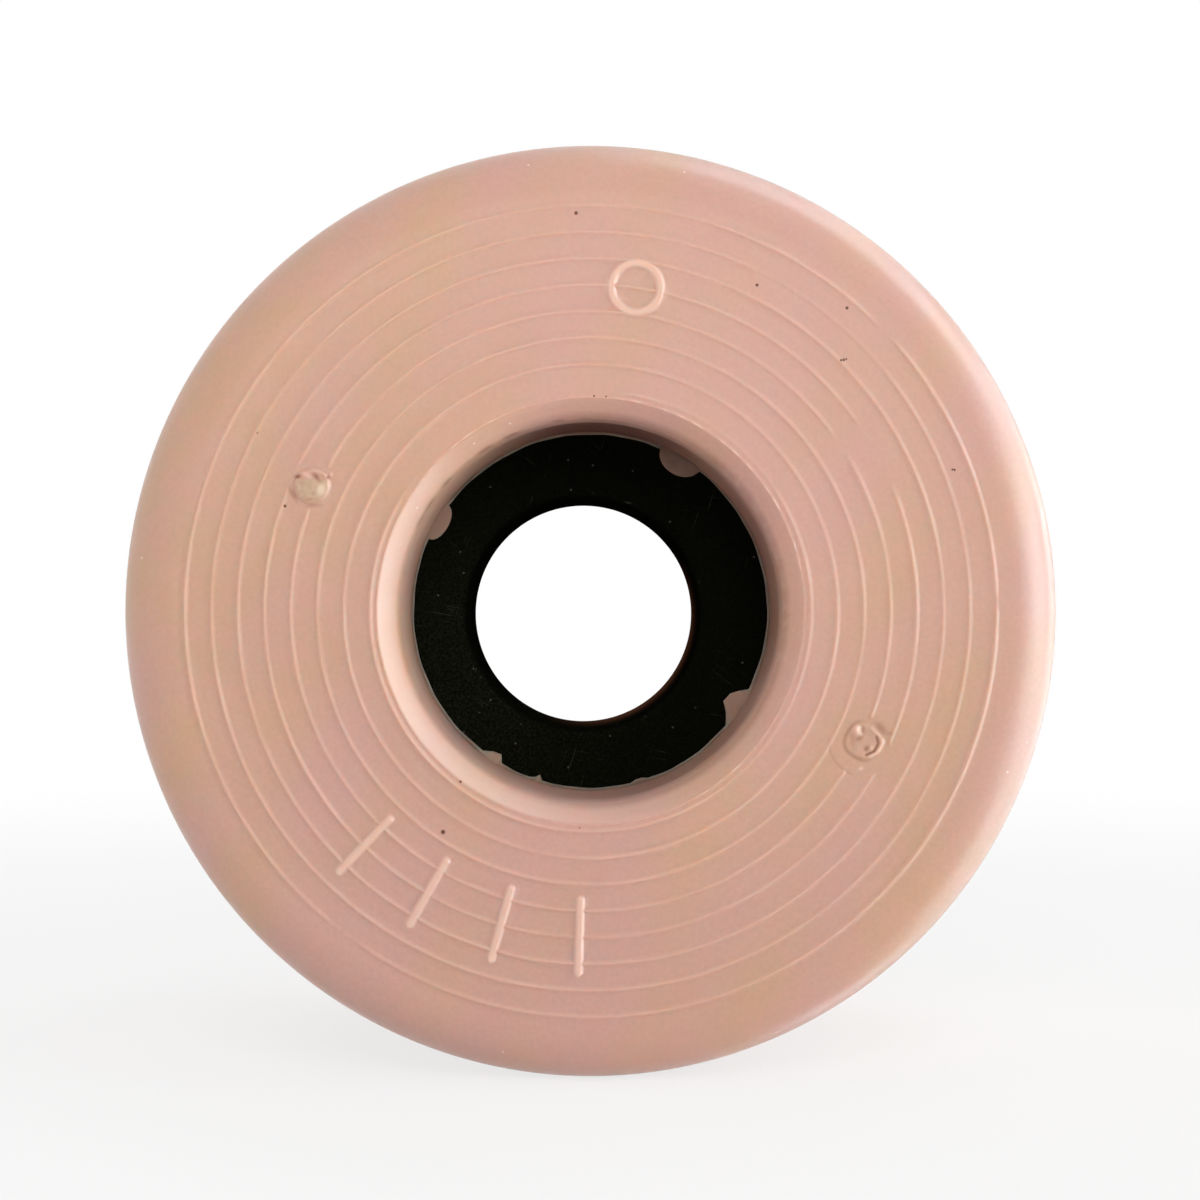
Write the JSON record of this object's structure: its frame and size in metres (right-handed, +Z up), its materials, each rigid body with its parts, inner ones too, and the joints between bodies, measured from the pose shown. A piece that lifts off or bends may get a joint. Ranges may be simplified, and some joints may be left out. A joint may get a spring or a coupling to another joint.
{
  "type": "roller skate wheel",
  "caption": "Cast urethane roller skate wheel with rounded shoulders, ringed side faces and a bearing seat at each end of a bonded plastic core.",
  "frame": {"origin": "the wheel's centre, on the bearing seats' axis and midway between the two side faces", "axes": "+Y is the axis that the wheel turns about, pointing away from the pictured face; +Z is up and +X is to the right of that face"},
  "size_m": [0.054, 0.0325, 0.054],
  "materials": {
    "tyre_urethane": "satin cast urethane, dusty pink, faintly translucent",
    "core_plastic": "matt black moulded nylon"
  },
  "bodies": {
    "root": {"tyre": "tyre_urethane", "core": "core_plastic"}
  },
  "joints": []
}
